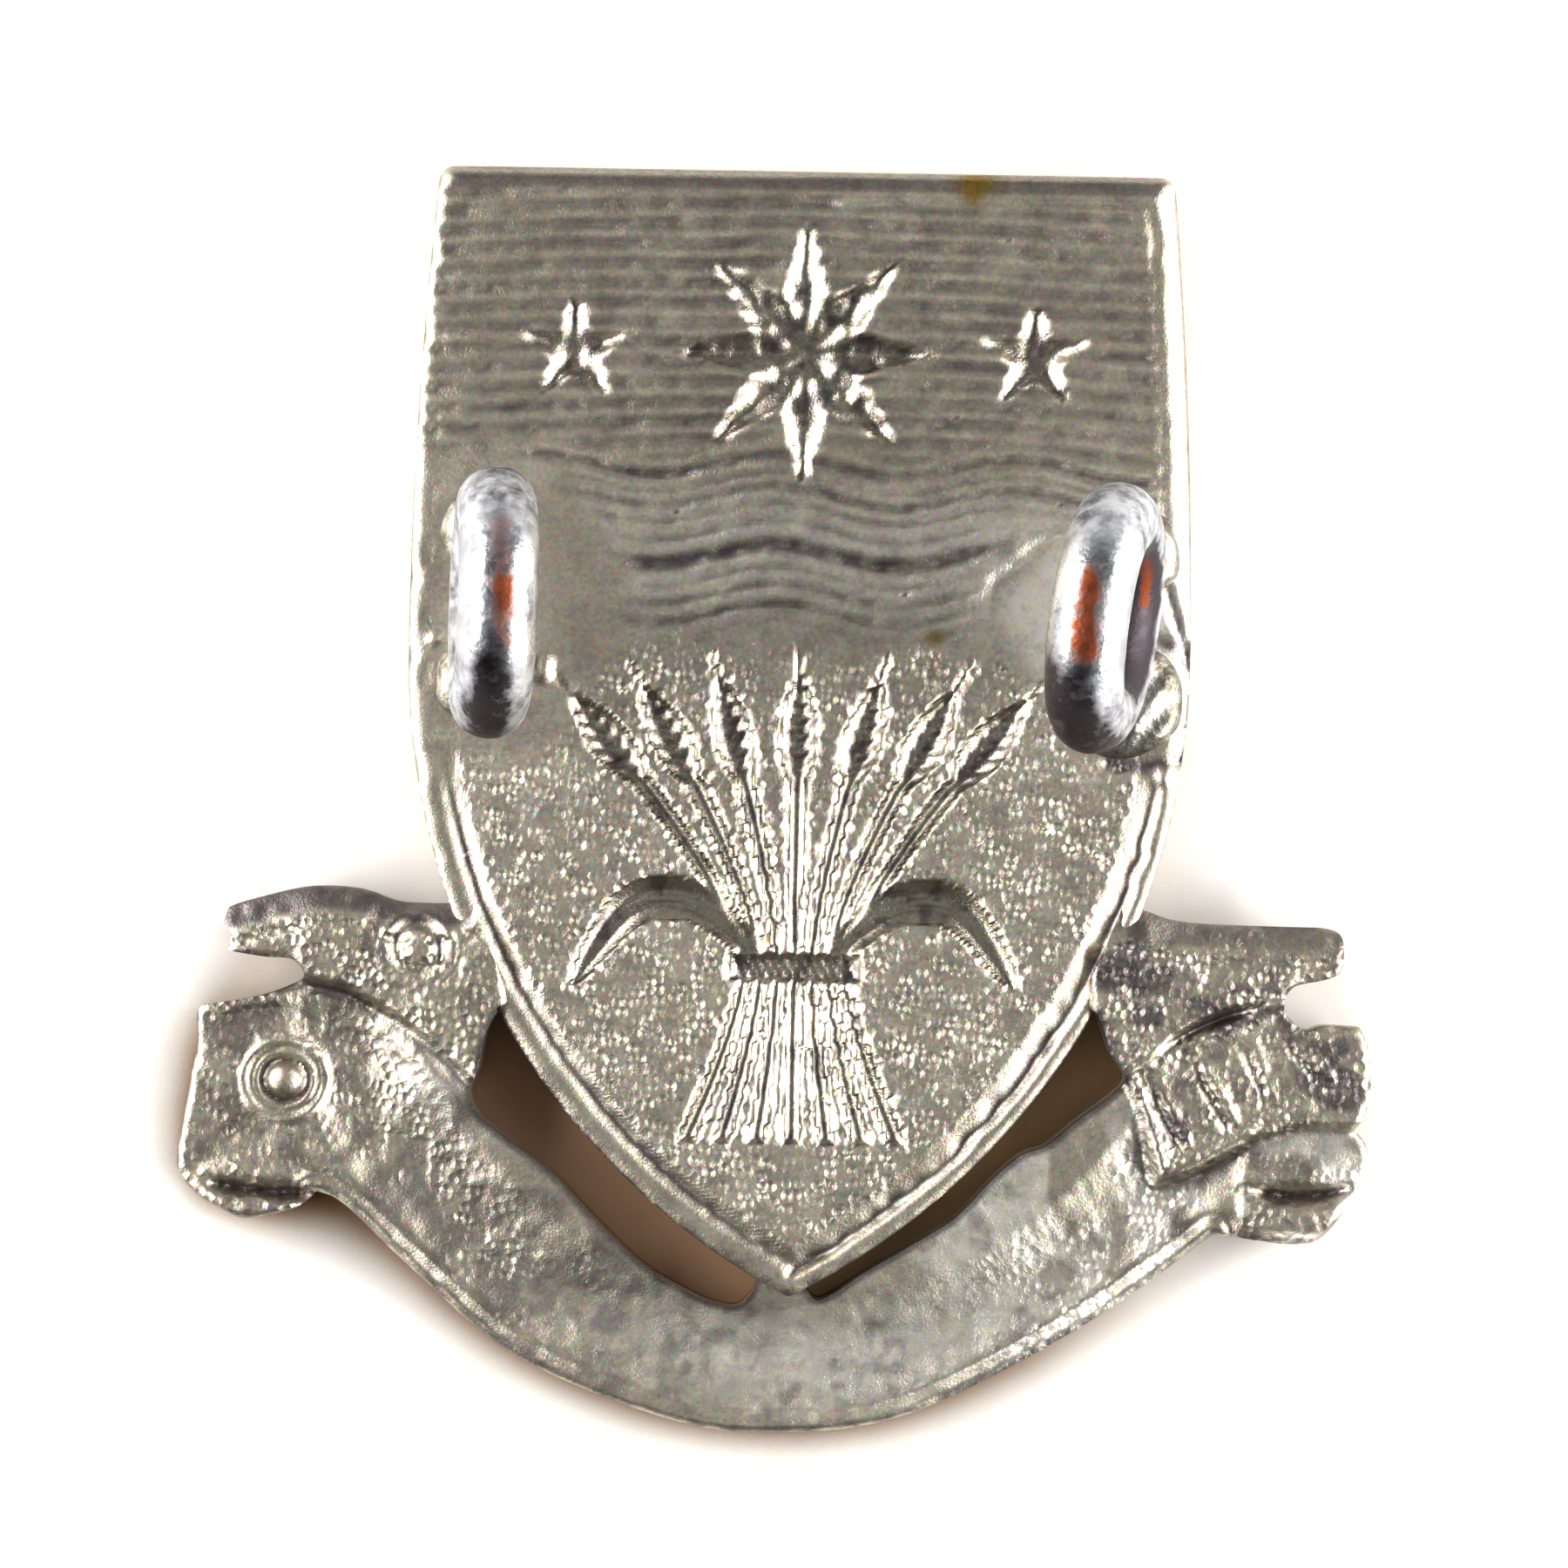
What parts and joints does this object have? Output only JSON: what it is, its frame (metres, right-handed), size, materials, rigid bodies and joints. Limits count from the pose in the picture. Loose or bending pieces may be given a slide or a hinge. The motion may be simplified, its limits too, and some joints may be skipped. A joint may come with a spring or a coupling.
{
  "type": "cap badge",
  "caption": "Struck white-metal cap badge: heater shield with hatched chief, waves and wheatsheaf over a folded ribbon scroll, lying face down with wire ring lugs soldered to its back",
  "frame": {"origin": "centre of the footprint, at the height of the lowest point of the badge's front, on which it lies", "axes": "+X to the right as the back is looked at, +Y to the top of the badge, +Z out of the back, the way the lugs stand"},
  "size_m": [0.0326, 0.0346, 0.009],
  "materials": {
    "struck_metal": "worn satin, darkened in the hollows",
    "plated_wire": "bright plating worn through at the crown",
    "solder": "bright, uneven"
  },
  "bodies": {
    "root": {"badge_plate": "struck_metal", "lug_left": "plated_wire", "lug_right": "plated_wire", "solder_left_upper": "solder", "solder_left_lower": "solder", "solder_right_upper": "solder", "solder_right_lower": "solder"}
  },
  "joints": []
}
